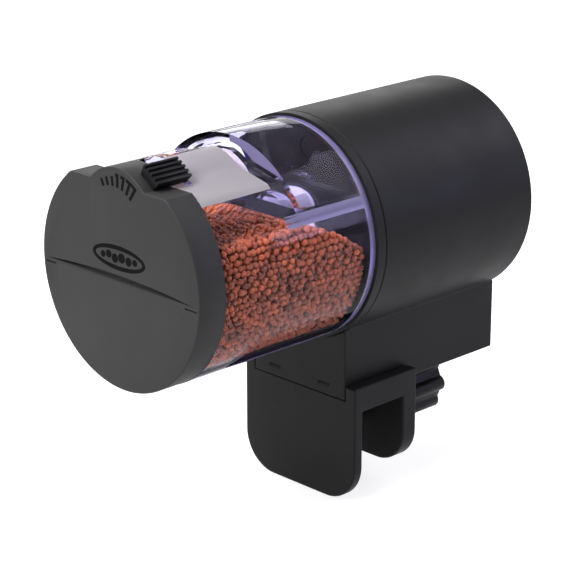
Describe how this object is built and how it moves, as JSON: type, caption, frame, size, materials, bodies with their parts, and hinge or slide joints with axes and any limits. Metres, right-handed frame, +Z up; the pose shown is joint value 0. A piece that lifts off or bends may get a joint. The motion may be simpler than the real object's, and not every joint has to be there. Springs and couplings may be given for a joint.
{
  "type": "automatic pet feeder",
  "caption": "Clamp-on automatic fish feeder: a clear pellet drum with feed gate and pull-off cap, turned by a battery gear motor in a round black housing on a rim bracket with a clamp screw.",
  "frame": {"origin": "middle of the seat under the bracket's bridge, where it rests on the tank's rim", "axes": "+X to the right seen from the cap, +Y from the cap to the rear panel along the drum axis, +Z up"},
  "size_m": [0.068, 0.1366, 0.1174],
  "materials": {
    "black_abs": "fine matte moulded ABS",
    "cap_abs": "fine matte moulded ABS, charcoal",
    "knob_abs": "satin moulded ABS",
    "button_abs": "satin moulded ABS",
    "feed_button_abs": "satin moulded ABS",
    "clear_styrene": "clear polished styrene with a faint violet tint",
    "frosted_styrene": "frosted styrene",
    "lens_acrylic": "clear acrylic",
    "food": "dry reddish-brown pellets",
    "acetal": "natural acetal",
    "felt": "grey felt",
    "steel": "zinc-plated steel",
    "brass": "turned brass",
    "board": "green solder mask",
    "electronics": "moulded epoxy",
    "lead_insulation": "PVC insulation",
    "cell_jacket": "printed plastic jacket, plain",
    "pad_rubber": "soft rubber"
  },
  "bodies": {
    "bracket": {"clamp_bracket": "black_abs", "clamp_nut": "brass"},
    "pad": {"pressure_pad": "pad_rubber"},
    "clamp_screw": {"clamp_screw": "steel", "clamp_knob": "knob_abs"},
    "housing": {"housing_shell": "black_abs", "front_bezel": "black_abs", "hub_seal": "felt", "gear_plate": "acetal", "plate_screws": "steel", "gear_axles": "steel", "gear_motor": "steel", "motor_leads": "lead_insulation", "home_switch": "electronics", "rear_cover": "black_abs", "rear_cover_screws": "steel", "display_lens": "lens_acrylic", "display_module": "electronics", "circuit_board": "board", "board_screws": "steel", "control_chip": "electronics", "tact_switches": "electronics", "battery_cells": "cell_jacket", "battery_contacts": "steel"},
    "drive": {"drive_hub": "acetal", "output_gear": "acetal", "hub_screw": "steel", "home_cam": "acetal"},
    "second_gear": {"second_gear": "acetal"},
    "first_gear": {"first_gear": "acetal"},
    "motor_rotor": {"motor_pinion": "brass", "motor_shaft": "steel"},
    "drum": {"drum_shell": "clear_styrene", "food_pellets": "food"},
    "cap": {"drum_cap": "cap_abs"},
    "gate": {"gate_knob": "knob_abs", "gate_shutter": "frosted_styrene"},
    "battery_door": {"battery_door": "black_abs", "door_contact": "steel"},
    "mode_button": {"mode_button": "button_abs"},
    "set_button": {"set_button": "button_abs"},
    "adjust_button": {"adjust_button": "button_abs"},
    "feed_button": {"feed_button": "feed_button_abs"}
  },
  "joints": [
    {"name": "screw_travel", "type": "slide", "parent": "bracket", "child": "pad", "axis": [0, -1, 0], "range_m": [0, 0.009]},
    {"name": "screw_turn", "type": "hinge", "parent": "pad", "child": "clamp_screw", "pos_m": [0, 0, -0.0083], "axis": [0, -1, 0], "range_deg": [0, 3239]},
    {"name": "housing_lift", "type": "slide", "parent": "bracket", "child": "housing", "axis": [0, 0, 1], "range_m": [0, 0.03]},
    {"name": "drum_spin", "type": "hinge", "parent": "housing", "child": "drive", "pos_m": [0, 0, 0.0538], "axis": [0, -1, 0], "continuous": true},
    {"name": "second_gear_spin", "type": "hinge", "parent": "housing", "child": "second_gear", "pos_m": [0, 0, 0.0694], "axis": [0, -1, 0], "continuous": true},
    {"name": "first_gear_spin", "type": "hinge", "parent": "housing", "child": "first_gear", "pos_m": [0.01143, 0, 0.0628], "axis": [0, -1, 0], "continuous": true},
    {"name": "motor_spin", "type": "hinge", "parent": "housing", "child": "motor_rotor", "pos_m": [0.01595, 0, 0.0504], "axis": [0, -1, 0], "continuous": true},
    {"name": "drum_pull", "type": "slide", "parent": "drive", "child": "drum", "axis": [0, -1, 0], "range_m": [0, 0.04]},
    {"name": "cap_pull", "type": "slide", "parent": "drum", "child": "cap", "axis": [0, -1, 0], "range_m": [0, 0.03]},
    {"name": "gate_slide_round", "type": "hinge", "parent": "drum", "child": "gate", "pos_m": [0, 0, 0.0692], "axis": [0, -1, 0], "range_deg": [0, 55]},
    {"name": "battery_door_pull", "type": "slide", "parent": "housing", "child": "battery_door", "axis": [0, 1, 0], "range_m": [0, 0.03]},
    {"name": "mode_button_press", "type": "slide", "parent": "housing", "child": "mode_button", "axis": [0, -1, 0], "range_m": [0, 0.0006], "stiffness_N_per_m": 400},
    {"name": "set_button_press", "type": "slide", "parent": "housing", "child": "set_button", "axis": [0, -1, 0], "range_m": [0, 0.0006], "stiffness_N_per_m": 400},
    {"name": "adjust_button_press", "type": "slide", "parent": "housing", "child": "adjust_button", "axis": [0, -1, 0], "range_m": [0, 0.0006], "stiffness_N_per_m": 400},
    {"name": "feed_button_press", "type": "slide", "parent": "housing", "child": "feed_button", "axis": [0, -1, 0], "range_m": [0, 0.0006], "stiffness_N_per_m": 400}
  ],
  "couplings": [
    {"joint": "screw_travel", "follows": "screw_turn", "m_per_rad": 0.00015915},
    {"joint": "second_gear_spin", "follows": "drum_spin", "ratio": -3.3333},
    {"joint": "first_gear_spin", "follows": "drum_spin", "ratio": 8.8889},
    {"joint": "motor_spin", "follows": "drum_spin", "ratio": -23.704}
  ]
}
